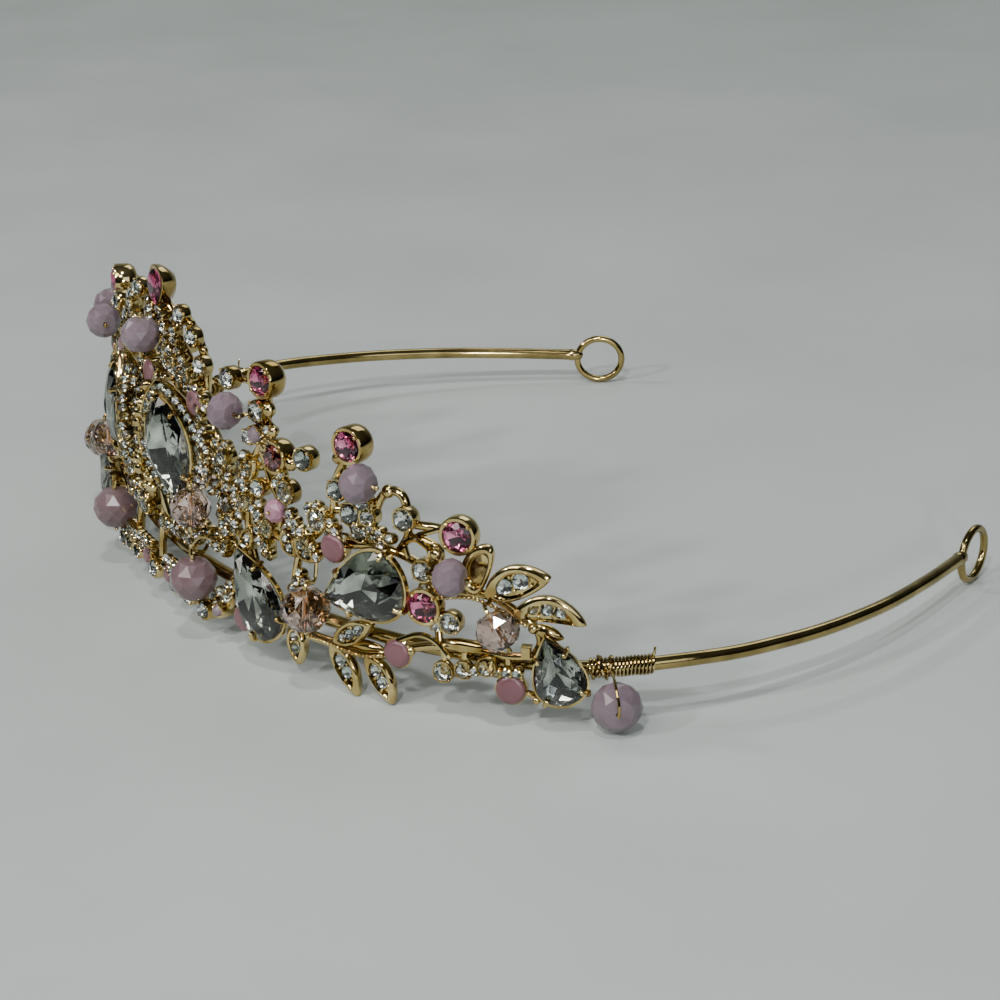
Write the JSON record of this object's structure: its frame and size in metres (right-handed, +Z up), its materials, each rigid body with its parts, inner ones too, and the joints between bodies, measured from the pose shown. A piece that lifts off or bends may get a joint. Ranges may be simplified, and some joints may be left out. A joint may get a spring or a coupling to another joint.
{
  "type": "tiara",
  "caption": "Gilt tiara of pierced leaf sprays, set with clear pear and pointed stones, pink rhinestones and faceted opal beads.",
  "frame": {"origin": "middle of the bounding box in plan, on the surface the tiara rests on", "axes": "+X towards the wearer's left, +Y from the crest back to the open ends, +Z up; the crest faces -Y"},
  "size_m": [0.1588, 0.1188, 0.0527],
  "materials": {
    "gilt_metal": "polished gilt",
    "clear_crystal": "clear foiled crystal",
    "pink_crystal": "pink foiled crystal",
    "lilac_opal": "milky lilac glass",
    "rose_opal": "milky pink glass",
    "peach_crystal": "peach crystal"
  },
  "bodies": {
    "root": {"headband": "gilt_metal", "left_wire_wrap": "gilt_metal", "right_wire_wrap": "gilt_metal", "left_casting": "gilt_metal", "right_casting": "gilt_metal", "centre_casting": "gilt_metal", "navette_left": "clear_crystal", "pear_front_left": "clear_crystal", "pear_middle_left": "clear_crystal", "pear_end_left": "clear_crystal", "pink_peak_left": "pink_crystal", "pink_inner_left": "pink_crystal", "pink_third_left": "pink_crystal", "pink_fourth_left": "pink_crystal", "pink_low_left": "pink_crystal", "lilac_peak_left": "lilac_opal", "lilac_third_left": "lilac_opal", "lilac_fourth_left": "lilac_opal", "lilac_hanging_left": "lilac_opal", "rose_left": "rose_opal", "peach_front_left": "peach_crystal", "peach_middle_left": "peach_crystal", "peach_end_left": "peach_crystal", "navette_right": "clear_crystal", "pear_front_right": "clear_crystal", "pear_middle_right": "clear_crystal", "pear_end_right": "clear_crystal", "pink_peak_right": "pink_crystal", "pink_inner_right": "pink_crystal", "pink_third_right": "pink_crystal", "pink_fourth_right": "pink_crystal", "pink_low_right": "pink_crystal", "lilac_peak_right": "lilac_opal", "lilac_third_right": "lilac_opal", "lilac_fourth_right": "lilac_opal", "lilac_hanging_right": "lilac_opal", "rose_right": "rose_opal", "peach_front_right": "peach_crystal", "peach_middle_right": "peach_crystal", "peach_end_right": "peach_crystal", "pink_crest": "pink_crystal", "lilac_crest": "lilac_opal"}
  },
  "joints": []
}
